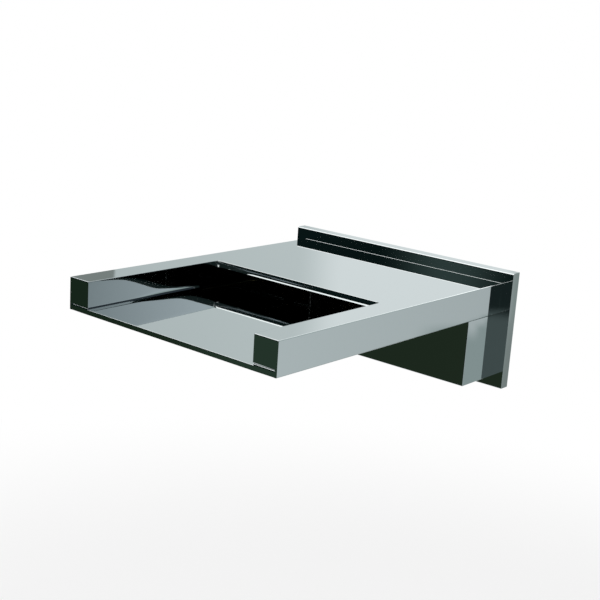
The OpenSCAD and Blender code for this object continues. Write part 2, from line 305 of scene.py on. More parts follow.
@dataclass
class Studio:
    """The camera, the pale floor, the light, and the boards that the chrome reflects.

    Azimuths run from +Y towards +X and elevations up from the horizon.
    """

    centre: Vector
    floor_drop: float = 0.42
    floor_half: float = 8.0
    level: float = 0.8
    lamp_height: float = 1.6
    lamp_size: float = 2.2
    lamp_power: float = 9.0
    lamp_front: float = 0.2
    floor_fade: tuple[float, float] = (0.45, 0.95)
    clip: tuple[float, float] = (0.01, 50.0)
    below_fade: tuple[float, float] = (-30.0, -8.0)
    above_fade: tuple[float, float] = (19.0, 34.0)
    camera_place: Colour = (0.395085, -0.568210, 0.179680)
    camera_azimuth: float = 40.0271
    camera_elevation: float = 14.1636
    camera_roll: float = -3.7221
    focal_pixels: float = 1126.79
    photo_pixels: float = 600.0
    sensor: float = 36.0
    below: Colour = (0.52, 0.56, 0.57)
    horizon: Colour = (0.35, 0.39, 0.39)
    above: Colour = (0.80, 0.84, 0.85)
    cards: list[Card] = field(
        default_factory=lambda: [
            Card(0.0, 185.0, 68.0, 120.0, 1.0, 6.0, (0.50, 0.55, 0.56)),
            Card(-128.0, 32.0, 24.0, 62.0, 3.0, 3.0, BRIGHT),
            Card(165.0, 14.0, 24.0, 50.0, 3.0, 3.0, BRIGHT),
            Card(-39.5, 10.2, -8.0, 32.0, 0.3, 5.0, (0.725, 0.785, 0.795)),
            Card(-46.2, 7.1, -8.0, 32.0, 1.3, 5.0, (0.465, 0.53, 0.535), (0.54, 0.605, 0.61)),
            Card(-75.0, 25.3, 3.0, 22.0, 0.1, 2.0, (0.212, 0.244, 0.236)),
            Card(0.0, 29.5, 0.0, 60.0, 4.0, 6.0, (0.755, 0.82, 0.83), (0.70, 0.76, 0.77)),
            Card(-7.0, 24.0, 23.0, 34.5, 2.0, 1.0, BRIGHT),
            Card(48.0, 20.0, -32.0, -4.0, 3.0, 5.0, (0.42, 0.475, 0.485), (0.62, 0.70, 0.71)),
            Card(24.0, 9.0, -60.0, -15.2, 1.0, 0.5, GREY),
            Card(22.0, 8.9, -60.0, -14.65, 0.3, 0.25, GREY),
            Card(22.0, 8.4, -60.0, -14.35, 0.3, 0.2, GREY),
            Card(22.0, 7.3, -60.0, 0.0, 0.4, 1.0, (0.245, 0.293, 0.286)),
            Card(22.0, 7.3, -60.0, -14.8, 0.4, 1.2, (0.21, 0.247, 0.24)),
            Card(48.0, 22.0, -1.0, 52.0, 6.0, 3.0, (0.33, 0.41, 0.41)),
            Card(48.7, 4.5, -1.0, 36.0, 1.5, 3.0, (0.47, 0.54, 0.58), (0.19, 0.235, 0.25)),
            Card(36.0, 9.0, 32.5, 46.0, 1.5, 1.0, (0.03, 0.04, 0.05)),
            Card(-140.0, 52.0, -20.0, 36.0, 5.0, 1.0, (0.003, 0.007, 0.007), (0.004, 0.011, 0.011)),
            Card(-140.0, 52.0, -40.0, -12.5, 5.0, 1.0, (0.025, 0.034, 0.0215), (0.002, 0.014, 0.0075)),
            Card(-138.5, 3.5, -40.0, -12.5, 2.5, 1.0, (0.022, 0.041, 0.028)),
            Card(-147.6, 2.0, 5.0, 20.0, 1.8, 2.0, (0.034, 0.056, 0.053)),
            Card(138.0, 48.0, -20.0, 22.0, 4.0, 1.0, DARK),
            Card(121.0, 31.0, 20.0, 65.0, 4.0, 1.0, DARK),
            Card(138.0, 48.0, -60.0, -14.0, 4.0, 0.35, (0.075, 0.10, 0.10)),
            Card(139.0, 1.3, 5.0, 20.0, 0.4, 2.0, (0.24, 0.28, 0.31)),
        ]
    )

    def build(self) -> None:
        """Makes the camera, the world, the floor and the lamp."""
        bpy.context.scene.view_settings.view_transform = "Standard"
        self.make_camera()
        self.make_world()
        self.make_floor()
        self.make_lamp()

    def make_camera(self) -> None:
        """Puts the camera where the photograph was taken from."""
        azimuth, elevation, roll = (
            math.radians(a) for a in (self.camera_azimuth, self.camera_elevation, self.camera_roll)
        )
        back = Vector((
            math.sin(azimuth) * math.cos(elevation),
            -math.cos(azimuth) * math.cos(elevation),
            math.sin(elevation),
        ))
        level = Vector((math.cos(azimuth), math.sin(azimuth), 0.0))
        upright = back.cross(level)
        right = math.cos(roll) * level - math.sin(roll) * upright
        up = math.sin(roll) * level + math.cos(roll) * upright
        lens = bpy.data.cameras.new("camera")
        lens.sensor_width = self.sensor
        lens.lens = self.focal_pixels / self.photo_pixels * self.sensor
        lens.clip_start, lens.clip_end = self.clip
        camera = bpy.data.objects.new("camera", lens)
        turn = Matrix((right, up, back)).transposed().to_4x4()
        camera.matrix_world = Matrix.Translation(self.camera_place) @ turn
        bpy.context.scene.collection.objects.link(camera)
        bpy.context.scene.camera = camera

    def make_world(self) -> None:
        """Lights the scene: white for the camera, the boards for polished metal."""
        world = bpy.data.worlds.new("studio")
        bpy.context.scene.world = world
        world.use_nodes = True
        graph = Graph(world.node_tree)
        direction = graph.node("ShaderNodeTexCoord").outputs["Generated"]
        up = graph.node("ShaderNodeSeparateXYZ", {"Vector": direction}).outputs["Z"]
        rise = graph.math("DEGREES", graph.math("ARCSINE", up))
        seen = graph.blend(graph.ramp(rise, *self.below_fade), self.below, self.horizon)
        seen = graph.blend(graph.ramp(rise, *self.above_fade), seen, self.above)
        for card in self.cards:
            seen = self.add_card(graph, card, direction, rise, seen)
        path = graph.node("ShaderNodeLightPath").outputs
        flat = graph.node("ShaderNodeBackground", {"Color": WHITE, "Strength": self.level})
        boards = graph.node("ShaderNodeBackground", {"Color": seen, "Strength": 1.0})
        white = graph.node("ShaderNodeBackground", {"Color": WHITE, "Strength": 1.0})
        mirrored = graph.node(
            "ShaderNodeMixShader", {0: path["Is Glossy Ray"], 1: flat.outputs[0], 2: boards.outputs[0]}
        )
        all_rays = graph.node(
            "ShaderNodeMixShader", {0: path["Is Camera Ray"], 1: mirrored.outputs[0], 2: white.outputs[0]}
        )
        graph.node("ShaderNodeOutputWorld", {"Surface": all_rays.outputs[0]})

    def add_card(
        self, graph: Graph, card: Card, direction: Socket, rise: Socket, behind: Socket
    ) -> Socket:
        """Lays one board over what is behind it.

        Args:
            graph: The world's graph.
            card: The board.
            direction: The direction in which the ray leaves.
            rise: Its elevation in degrees.
            behind: The colour without the board.

        Returns:
            The colour with the board.
        """
        azimuth = math.radians(card.azimuth)
        ahead = (math.sin(azimuth), math.cos(azimuth), 0.0)
        beside = (math.cos(azimuth), -math.sin(azimuth), 0.0)
        parts = (
            graph.node("ShaderNodeVectorMath", {0: direction, 1: axis}, operation="DOT_PRODUCT")
            for axis in (beside, ahead)
        )
        aside = graph.math("DEGREES", graph.math("ARCTAN2", *(part.outputs["Value"] for part in parts)))
        away = graph.math("ABSOLUTE", aside)
        inside = graph.ramp(away, card.half_width + card.edge, card.half_width - card.edge)
        over = graph.ramp(rise, card.low - card.rise_edge, card.low + card.rise_edge)
        under = graph.ramp(rise, card.high + card.rise_edge, card.high - card.rise_edge)
        share = graph.math("MULTIPLY", graph.math("MULTIPLY", inside, over), under)
        across = graph.ramp(aside, -card.half_width, card.half_width, smooth=False)
        return graph.blend(share, behind, graph.blend(across, card.left, card.right or card.left))

    def make_floor(self) -> None:
        """Lays a pale floor that fades to white and doesn't hide the spout from below."""
        mesh = bmesh.new()
        bmesh.ops.create_grid(mesh, x_segments=1, y_segments=1, size=self.floor_half)
        place = Vector((0.0, self.centre.y, self.centre.z - self.floor_drop))
        bmesh.ops.translate(mesh, verts=mesh.verts, vec=place)
        floor = loose_object("floor", mesh)
        floor.visible_glossy = False
        floor.data.materials.append(self.floor_material())

    def floor_material(self) -> bpy.types.Material:
        """Returns the floor's material.

        Returns:
            The material, clear from below.
        """
        made = bpy.data.materials.new("pale_floor")
        made.use_nodes = True
        graph = Graph(made.node_tree)
        place = graph.node("ShaderNodeTexCoord").outputs["Object"]
        across = graph.node("ShaderNodeVectorMath", {0: place, 1: (1.0, 1.0, 0.0)}, operation="MULTIPLY")
        far = graph.node("ShaderNodeVectorMath", {0: across.outputs[0]}, operation="LENGTH")
        paint = graph.node("ShaderNodeBsdfDiffuse", {"Color": (0.96, 0.96, 0.96, 1.0)})
        white = graph.node("ShaderNodeEmission", {"Color": WHITE, "Strength": 1.0})
        clear = graph.node("ShaderNodeBsdfTransparent")
        seen = graph.node("ShaderNodeLightPath").outputs["Is Camera Ray"]
        share = graph.math("MULTIPLY", graph.ramp(far.outputs["Value"], *self.floor_fade), seen)
        top = graph.node("ShaderNodeMixShader", {0: share, 1: paint.outputs[0], 2: white.outputs[0]})
        backfacing = graph.node("ShaderNodeNewGeometry").outputs["Backfacing"]
        both = graph.node("ShaderNodeMixShader", {0: backfacing, 1: top.outputs[0], 2: clear.outputs[0]})
        graph.node("ShaderNodeOutputMaterial", {"Surface": both.outputs[0]})
        return made

    def make_lamp(self) -> None:
        """Hangs one large soft lamp over the spout, which polished metal doesn't show."""
        light = bpy.data.lights.new("overhead", "AREA")
        light.shape = "SQUARE"
        light.size = self.lamp_size
        light.energy = self.lamp_power
        lamp = bpy.data.objects.new("overhead", light)
        lamp.location = self.centre + Vector((0.0, -self.lamp_front, self.lamp_height))
        lamp.visible_glossy = False
        bpy.context.scene.collection.objects.link(lamp)


class Solid:
    """A closed shape under construction, from a flat face that is cut and drawn out."""

    def __init__(self, low: Vector, high: Vector) -> None:
        """Starts with one face.

        Args:
            low: A corner of the face.
            high: The opposite corner, which shares X, Y or Z with it.
        """
        self.mesh = bmesh.new()
        size = high - low
        across, beside = (Vector.Fill(3, 0.0) for _ in range(2))
        first, second = (axis for axis in range(3) if not near(size[axis], 0.0))
        across[first], beside[second] = size[first], size[second]
        self.mesh.faces.new([self.mesh.verts.new(c) for c in (low, low + across, high, low + beside)])

    @classmethod
    def from_mesh(cls, mesh: Mesh) -> "Solid":
        """Returns a shape that goes on from a mesh.

        Args:
            mesh: The mesh, which is used up.

        Returns:
            The shape.
        """
        made = cls.__new__(cls)
        made.mesh = mesh
        return made

    def cut(self, axis: int, places: Iterable[float], test: Place = lambda c: True) -> None:
        """Divides faces along planes.

        Args:
            axis: The planes' normal, 0 for X, 1 for Y and 2 for Z.
            places: Where each plane crosses that axis.
            test: Passed by the centres of the faces to divide.
        """
        normal = Vector([float(i == axis) for i in range(3)])
        for place in places:
            faces = self.faces(test)
            verts = dict.fromkeys(v for f in faces for v in f.verts)
            edges = dict.fromkeys(e for f in faces for e in f.edges)
            geom = [*verts, *edges, *faces]
            bmesh.ops.bisect_plane(
                self.mesh, geom=geom, dist=MERGE, plane_co=normal * place, plane_no=normal
            )
            self.settle()

    def faces(self, test: Place) -> list[bmesh.types.BMFace]:
        """Returns the faces whose centre passes the test."""
        return [f for f in self.mesh.faces if test(f.calc_center_median())]

    def edges(self, test: Place) -> list[bmesh.types.BMEdge]:
        """Returns the edges with both ends passing the test."""
        return [e for e in self.mesh.edges if all(test(v.co) for v in e.verts)]

    def drop(self, test: Place) -> None:
        """Deletes the faces whose centre passes the test."""
        bmesh.ops.delete(self.mesh, geom=self.faces(test), context="FACES")

    def draw_out(self, axis: int, length: float, test: Place = lambda c: True) -> None:
        """Draws faces out along an axis.

        Args:
            axis: 0 for X, 1 for Y and 2 for Z.
            length: How far, with its sign.
            test: Passed by the centres of the faces to draw out.
        """
        faces = self.faces(test)
        step = Vector.Fill(3, 0.0)
        step[axis] = length
        edges = dict.fromkeys(e for f in faces for e in f.edges)
        made = bmesh.ops.extrude_face_region(self.mesh, geom=[*faces, *edges])["geom"]
        verts = [v for v in made if isinstance(v, bmesh.types.BMVert)]
        bmesh.ops.translate(self.mesh, verts=verts, vec=step)
        self.settle()

    def round_edges(
        self, test: Place, radius: float, segments: int = 3, along: int | None = None, least: float = 20.0
    ) -> None:
        """Rounds the corners among the edges that pass the test.

        Args:
            test: Passed by both ends of each edge.
            radius: The radius.
            segments: How many faces go round it.
            along: The axis along which each edge runs, where they all do.
            least: The smallest angle between two faces, in degrees, that counts as a corner.
        """
        self.mesh.normal_update()
        chosen = [
            e for e in self.edges(test)
            if len(e.link_faces) == 2 and math.degrees(e.calc_face_angle(0.0)) > least
            and (along is None or runs_along(e, along))
        ]
        self.bevel(chosen, radius, segments)

    def bevel(self, edges: list[bmesh.types.BMEdge], radius: float, segments: int = 3) -> None:
        """Rounds the given edges.

        Args:
            edges: The edges.
            radius: The radius.
            segments: How many faces go round it.
        """
        bmesh.ops.bevel(
            self.mesh, geom=edges, offset=radius, offset_type="OFFSET", segments=segments,
            profile=0.5, affect="EDGES", clamp_overlap=True, material=-1,
        )
        self.settle()

    def shift(self, offset: Callable[[Vector], Vector]) -> None:
        """Moves each point by the offset that the rule gives for its place."""
        for vert in self.mesh.verts:
            vert.co += offset(vert.co)

    def close(self) -> None:
        """Joins doubled points and turns every face outwards."""
        bmesh.ops.remove_doubles(self.mesh, verts=self.mesh.verts, dist=MERGE)
        bmesh.ops.recalc_face_normals(self.mesh, faces=self.mesh.faces)
        self.settle()

    def settle(self) -> None:
        """Orders points, edges and faces by their places, so that each run goes the same way."""
        sort_by_place(self.mesh.verts, lambda vert: 0.0)
        for face in self.mesh.faces[:]:
            verts = face.verts[:]
            first = verts.index(min(verts, key=lambda vert: vert.index))
            if first:
                self.mesh.faces.remove(face)
                self.mesh.faces.new((*verts[first:], *verts[:first]))
        sort_by_place(self.mesh.edges, lambda edge: edge.calc_length())
        sort_by_place(self.mesh.faces, lambda face: face.calc_area())
        self.mesh.normal_update()

    def simplify(self) -> None:
        """Closes the shape and joins the faces that lie in one plane."""
        self.close()
        bmesh.ops.dissolve_limit(
            self.mesh, angle_limit=math.radians(COPLANAR), verts=self.mesh.verts, edges=self.mesh.edges
        )

    def take_away(self, others: Iterable[Mesh]) -> None:
        """Takes closed shapes away from this one, which uses them up.

        Args:
            others: The other shapes.
        """
        self.close()
        base = loose_object("pierced", self.mesh)
        cutters = [loose_object("cutter", other) for other in others]
        for cutter in cutters:
            step = base.modifiers.new("step", "BOOLEAN")
            step.operation, step.solver, step.object = "DIFFERENCE", "EXACT", cutter
        result = base.evaluated_get(bpy.context.evaluated_depsgraph_get()).to_mesh()
        self.mesh = bmesh.new()
        self.mesh.from_mesh(result)
        base.to_mesh_clear()
        for spent in (base, *cutters):
            data = spent.data
            bpy.data.objects.remove(spent)
            bpy.data.meshes.remove(data)

    def piece(self, name: str, slot: Slot, *nodes: str) -> bpy.types.Object:
        """Turns the shape into a finished piece of the spout.

        Args:
            name: The piece's name.
            slot: Its material slot.
            nodes: The model's nodes that it stands for.

        Returns:
            The piece.
        """
        self.close()
        for edge in self.mesh.edges:
            edge.smooth = math.degrees(edge.calc_face_angle(math.pi)) < SHARP_ANGLE
        for face in self.mesh.faces:
            face.smooth = True
        made = loose_object(name, self.mesh)
        made.data.materials.append(FINISHES[slot].material())
        made.modifiers.new("even_normals", "WEIGHTED_NORMAL").keep_sharp = True
        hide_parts(*nodes)
        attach(made, BODY)
        log.info("%s: %d faces, for %s", name, len(made.data.polygons), ", ".join(nodes))
        return made


def sort_by_place(items: bmesh.types.BMElemSeq, size: Callable[..., float]) -> None:
    """Sorts a mesh's points, edges or faces by the place of their middles.

    Args:
        items: The elements.
        size: Gives an element's length or area, which decides between equal places.
    """
    keys = {}
    for item in items:
        ends = [item] if isinstance(item, bmesh.types.BMVert) else item.verts[:]
        total = sum((vert.co for vert in ends), Vector.Fill(3, 0.0))
        keys[item] = (*(round(value / len(ends) / MERGE) for value in total), round(size(item) / TOUCH))
    for index, item in enumerate(sorted(items, key=lambda item: keys[item])):
        item.index = index
    items.sort()


def runs_along(edge: bmesh.types.BMEdge, axis: int) -> bool:
    """Returns whether an edge is parallel to an axis."""
    step = edge.verts[1].co - edge.verts[0].co
    return abs(step[axis]) > PARALLEL * step.length


def loose_object(name: str, mesh: Mesh) -> bpy.types.Object:
    """Puts a mesh under construction into the scene as an object.

    Args:
        name: The object's name.
        mesh: The mesh, which is used up.

    Returns:
        The object.
    """
    data = bpy.data.meshes.new(name)
    mesh.to_mesh(data)
    mesh.free()
    made = bpy.data.objects.new(name, data)
    bpy.context.scene.collection.objects.link(made)
    return made


def rod(radius: float, start: Vector, end: Vector, sides: int = ROD_SIDES) -> Mesh:
    """Makes a closed round bar.

    Args:
        radius: Its radius.
        start: The middle of its first end.
        end: The middle of its other end.
        sides: How many faces go round it.

    Returns:
        The mesh.
    """
    mesh = bmesh.new()
    bmesh.ops.create_cone(
        mesh, cap_ends=True, segments=sides, radius1=radius, radius2=radius, depth=(end - start).length,
    )
    turn = Vector((0, 0, 1)).rotation_difference(end - start).to_matrix().to_4x4()
    place = Matrix.Translation((start + end) / 2) @ turn
    bmesh.ops.transform(mesh, matrix=place, verts=mesh.verts)
    return mesh


def near(value: float, target: float) -> bool:
    """Returns whether two places agree to a thousandth of a millimetre."""
    return abs(value - target) < TOUCH


def corners(node: str) -> tuple[Vector, Vector]:
    """Returns the lower and the upper corner of a node's box."""
    low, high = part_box(node)
    return Vector(low), Vector(high)


@dataclass
class Slab:
    """The flat body: top sheet, cheeks, rail caps, floor and rib."""

    trough_length: float = 95.5 * MM
    lip_fall: float = 0.8 * MM
    corner_radius: float = 2.0 * MM
    nose_radius: float = 4.0 * MM
    nose_steps: int = 10
    outer_edge: float = 0.5 * MM
    inner_edge: float = 0.25 * MM
    cap_edge: float = 0.54 * MM
    lip_edge: float = 0.36 * MM
    round_angles: tuple[float, ...] = (0.0, 15.0, 30.0)
    back_edge: float = 0.25 * MM
    seam: float = 0.6 * MM
    seam_radius: float = 1.2 * MM
    wall_lean: float = 0.005
    top_reach: float = 0.05 * MM
    foot_height: float = 1.2 * MM
    foot_slope: float = 0.268
    fade: float = 0.97 * MM
    front_fade: float = 0.08 * MM
    soft_from: float = 35.0 * MM
    soft_to: float = 51.0 * MM
    wall_steps: int = 48
    wall_parts: int = 18
    step_parts: int = 8
    ledge: float = 2.0 * MM
    nose_share: float = 0.98
    flare: float = 0.07 * MM
    round_error: float = 0.01

    def __post_init__(self) -> None:
        """Reads the places of the faces from the model."""
        self.low, self.high = corners("top_shell")
        self.cheek_low, self.cheek_high = corners("cheek_right")
        self.floor_low, self.floor_high = corners("floor_plate")
        self.cheek_x, self.skin_x = self.cheek_low.x, self.floor_high.x
        self.floor_z, self.deck_z = self.cheek_low.z, self.cheek_high.z
        self.lip_z = self.floor_z - self.lip_fall
        self.deck_y = self.low.y + self.trough_length

    def build(self) -> None:
        """Makes every piece of the slab."""
        self.make_top()
        for side in Side:
            self.make_cheek(side)
            self.make_cap(side)
        self.make_floor()
        self.make_rib()

    def floor_level(self, y: float) -> float:
        """Returns the height of the trough's floor at some distance from the wall."""
        return self.floor_z + min(0.0, self.lip_fall * (y - self.deck_y) / self.trough_length)

    def wall_draw(self, place: Vector) -> float:
        """Returns how far polishing has drawn a point of the trough's side wall outwards.

        Args:
            place: The point.

        Returns:
            The distance along X.
        """
        below_top = self.high.z - place.z
        above_foot = place.z - self.floor_level(place.y) - self.foot_height
        share = (place.y - self.low.y - self.soft_from) / (self.soft_to - self.soft_from)
        fade = self.front_fade + (self.fade - self.front_fade) * min(1.0, max(0.0, share))
        foot = fade * math.exp(-max(above_foot, 0.0) / fade) + max(-above_foot, 0.0)
        return (
            self.wall_lean * below_top
            + self.top_reach * math.exp(-below_top / self.fade)
            + self.foot_slope * foot
        )

    def nose_draw(self, z: float) -> float:
        """Returns how far the deck's rounded front edge lies back at a level."""
        off_middle = z - (self.high.z + self.deck_z) / 2
        return self.nose_radius - math.sqrt(self.nose_radius**2 - off_middle**2)

    def shape_wall(self, place: Vector) -> Vector:
        """Returns the step that gives a point of a side wall its polished place.

        Args:
            place: The point.

        Returns:
            The step from its place.
        """
        if not near(abs(place.x), self.cheek_x):
            return Vector()
        return Vector((math.copysign(self.wall_draw(place), place.x), 0.0, 0.0))

    def shape_outline(self, place: Vector) -> Vector:
        """Returns the step that gives a point of the top sheet's cut-out its polished place.

        Args:
            place: The point.

        Returns:
            The step from its place.
        """
        radius = self.corner_radius
        aside = abs(place.x) - self.cheek_x + radius
        back = place.y - self.deck_y + radius
        outward = Vector((max(aside, 0.0), max(back, 0.0)))
        if abs(outward.length - radius) > self.round_error * radius:
            return Vector()
        outward.normalize()
        depth = outward.x**2 * self.wall_draw(place) + outward.y**2 * self.nose_draw(place.z)
        return Vector((math.copysign(outward.x * depth, place.x), outward.y * depth, 0.0))

    def round_front(self, solid: Solid, level: float, radius: float, test: Place) -> None:
        """Rounds a front edge, which short edges beside it would keep a bevel from doing.

        Args:
            solid: The shape.
            level: The edge's height.
            radius: The radius.
            test: Passed by the points that may move.
        """
        front = self.low.y
        shares = [1.0 - math.tan(math.radians(angle)) for angle in self.round_angles]
        solid.cut(1, (front + radius * share for share in shares), test)
        solid.cut(2, (level - radius * share for share in shares), lambda c: near(c.y, front))

        def offset(place: Vector) -> Vector:
            """Returns the step onto the rounding.

            Args:
                place: The point.

            Returns:
                The step from its place.
            """
            out = Vector((front + radius - place.y, place.z - level + radius))
            if min(out) <= 0.0 or not test(place):
                return Vector()
            kept = max(out) / out.length
            return Vector((0.0, (1.0 - kept) * out.x, (kept - 1.0) * out.y))

        solid.shift(offset)

    def turn_up(self, place: Vector) -> Vector:
        """Returns the step that turns the top sheet's back edge up against the wall plate."""
        on_edge = near(place.y, self.high.y) and near(place.z, self.high.z)
        return Vector((0.0, 0.0, self.flare if on_edge else 0.0))

    def on_step(self, place: Vector) -> bool:
        """Returns whether a point is on a side of the floor's fall."""
        return near(abs(place.x), self.cheek_x) and place.z > self.lip_z

    def wall_levels(self) -> list[float]:
        """Returns the levels at which a side wall is divided, closer together near its foot.

        Returns:
            Their heights, from the foot up.
        """
        count = self.wall_steps
        rise = self.cheek_high.z - self.floor_z
        return [self.floor_z + rise * (i / count) ** 2 for i in range(1, count)]

    def wall_stations(self) -> list[float]:
        """Returns the places along Y at which a side wall is divided."""
        count = self.wall_parts
        return [self.low.y + self.trough_length * i / count for i in range(1, count + 1)]

    def make_top(self) -> None:
        """Makes the top sheet with its trough, and the side skins folded down from it."""
        low, high = self.low, self.high
        top = Solid(Vector((low.x, high.y, low.z)), high.copy())
        top.cut(0, (-self.skin_x, -self.cheek_x, self.cheek_x, self.skin_x))
        top.cut(2, (self.deck_z,))
        top.drop(lambda c: abs(c.x) < self.skin_x and c.z < self.deck_z)
        top.draw_out(1, self.deck_y - high.y)
        top.draw_out(
            1, low.y - self.deck_y, lambda c: near(c.y, self.deck_y) and abs(c.x) > self.cheek_x
        )
        top.simplify()
        corner = self.cheek_x
        top.round_edges(
            lambda c: near(abs(c.x), corner) and near(c.y, self.deck_y), self.corner_radius, 8, along=2
        )
        step = (high.z - self.deck_z) / self.nose_steps
        top.cut(
            2, (self.deck_z + step * i for i in range(1, self.nose_steps)),
            lambda c: self.deck_z < c.z < high.z and max(abs(c.x) - corner, c.y - self.deck_y) < TOUCH,
        )
        top.shift(self.shape_outline)
        top.round_edges(
            lambda c: near(c.z, high.z) and max(abs(c.x) - corner, c.y - self.deck_y) < MM, self.inner_edge
        )
        top.round_edges(
            lambda c: near(abs(c.x), high.x) and on_level(c.z, low.z, high.z), self.outer_edge, along=1
        )
        top.round_edges(
            lambda c: on_level(c.y, low.y, high.y) and near(abs(c.x), high.x), self.back_edge, 2, along=2
        )
        self.round_front(top, high.z, self.cap_edge, lambda c: True)
        top.cut(1, (high.y - self.flare,), lambda c: near(c.z, high.z))
        top.shift(self.turn_up)
        top.piece("trough_top_sheet", Slot.CHROME, "top_shell")

    def make_cheek(self, side: Side) -> None:
        """Makes the inner wall of one rail.

        Args:
            side: The rail's side.
        """
        low, high = self.cheek_low, self.cheek_high
        sign = side.value
        cheek = Solid(Vector((sign * low.x, low.y, low.z)), Vector((sign * low.x, high.y, high.z)))
        cheek.cut(2, self.wall_levels())
        cheek.cut(1, self.wall_stations())
        cheek.draw_out(0, sign * (high.x - low.x))
        cheek.shift(self.shape_wall)
        cheek.piece(f"rail_cheek_{side.word}", Slot.CHROME, f"cheek_{side.word}")

    def make_cap(self, side: Side) -> None:
        """Makes the square end of one rail.

        Args:
            side: The rail's side.
        """
        low, high = corners(f"rail_cap_{side.word}")
        cap = Solid(Vector((low.x, high.y, low.z)), high.copy())
        cap.draw_out(1, low.y - high.y)
        cap.close()
        cap.round_edges(lambda c: near(c.y, low.y) and near(c.z, low.z), self.seam, 2, along=0)
        cap.cut(2, self.wall_levels(), lambda c: near(abs(c.x), self.cheek_x))
        cap.shift(self.shape_wall)
        cap.piece(f"rail_end_{side.word}", Slot.CHROME, f"rail_cap_{side.word}")

    def make_floor(self) -> None:
        """Makes the trough's floor, which falls to a sharp lip, with the diffuser's window."""
        low, high = self.floor_low, self.floor_high
        window_low, window_high = corners("diffuser_plate")
        ledge = self.ledge
        floor = Solid(low.copy(), Vector((high.x, high.y, low.z)))
        floor.cut(0, (-self.cheek_x, self.cheek_x, window_low.x + ledge, window_high.x - ledge))
        floor.cut(1, (self.deck_y, window_low.y + ledge, window_high.y - ledge))
        floor.drop(
            lambda c: abs(c.x) < window_high.x - ledge
            and window_low.y + ledge < c.y < window_high.y - ledge
        )
        floor.draw_out(2, self.lip_z - low.z)
        floor.draw_out(
            2, self.lip_fall,
            lambda c: near(c.z, self.lip_z) and (abs(c.x) > self.cheek_x or c.y > self.deck_y),
        )
        for vert in floor.mesh.verts:
            at_deck = near(vert.co.y, self.deck_y) and abs(vert.co.x) < self.cheek_x + TOUCH
            if at_deck and near(vert.co.z, self.lip_z):
                vert.co.z = self.floor_z
        floor.simplify()
        floor.round_edges(lambda c: near(c.y, low.y) and near(c.z, high.z), self.seam_radius, 6, along=0)
        beside = self.cheek_x + MM
        floor.cut(0, (-beside, -self.cheek_x, self.cheek_x, beside), lambda c: near(c.y, low.y))
        self.round_front(
            floor, self.lip_z, self.lip_edge,
            lambda c: abs(c.x) < self.cheek_x + TOUCH and c.z < self.floor_level(c.y) + TOUCH,
        )
        floor.cut(1, self.wall_stations()[:-1], self.on_step)
        parts = self.step_parts
        floor.cut(2, (self.lip_z + self.lip_fall * i / parts for i in range(1, parts)), self.on_step)
        floor.shift(self.shape_wall)
        floor.round_edges(lambda c: near(c.y, low.y) and near(c.z, low.z), self.back_edge, 2, along=0)
        floor.piece("trough_floor", Slot.CHROME, "floor_plate")

    def make_rib(self) -> None:
        """Makes the rib under the deck, with its round nose."""
        low, high = corners("centre_rib")
        nose = (high.x - low.x) / 2
        rib = Solid(Vector((low.x, high.y, low.z)), high.copy())
        rib.draw_out(1, low.y - high.y)
        rib.close()
        rib.round_edges(
            lambda c: near(c.y, low.y) and near(abs(c.x), nose), nose * self.nose_share, 6, along=2
        )
        made = rib.piece("outlet_rib", Slot.CHROME, "centre_rib")
        # The rib's chrome is painted near black, as painted shade for the inside of the outlet.
        made.data.materials[0] = OUTLET_CHROME_PAINTED_SHADE.material()


@dataclass
class Housing:
    """The block under the slab, and what guides the water in it."""

    wall: float = 1.5 * MM
    outer_edge: float = 0.3 * MM
    back_edge: float = 0.4 * MM
    access_radius: float = 3.3 * MM

    def build(self) -> None:
        """Makes the shell and dresses what it holds."""
        low, high = corners("housing_shell")
        inner = high.x - self.wall
        shell = Solid(low.copy(), Vector((high.x, high.y, low.z)))
        shell.cut(0, (-inner, inner))
        shell.cut(1, (low.y + self.wall,))
        shell.draw_out(2, self.wall)
        shell.draw_out(
            2, high.z - low.z - self.wall,
            lambda c: near(c.z, low.z + self.wall) and (abs(c.x) > inner or c.y < low.y + self.wall),
        )
        screw_low, screw_high = corners("set_screws")
        radius = (screw_high.y - screw_low.y) / 2
        middle_y = (screw_low.y + screw_high.y) / 2
        middle_x = screw_high.x - radius
        shell.take_away(
            rod(
                self.access_radius, Vector((x, middle_y, low.z - MM)),
                Vector((x, middle_y, low.z + 2 * self.wall)),
            )
            for x in (-middle_x, middle_x)
        )
        shell.simplify()
        shell.round_edges(
            lambda c: near(c.y, low.y) and (near(abs(c.x), high.x) or near(c.z, low.z)), self.outer_edge
        )
        shell.round_edges(lambda c: near(c.z, low.z) and near(abs(c.x), high.x), self.outer_edge)
        shell.round_edges(
            lambda c: near(c.y, high.y) and near(abs(c.x), high.x), self.back_edge, 2, along=2
        )
        shell.piece("housing_block", Slot.CHROME, "housing_shell")
        for node, slot in (
            ("baffle_plate", Slot.STEEL), ("diffuser_plate", Slot.STEEL), ("rear_plate", Slot.BRASS),
            ("inlet_socket", Slot.BRASS), ("boss_left", Slot.BRASS), ("boss_right", Slot.BRASS),
        ):
            finish_node(node, slot)


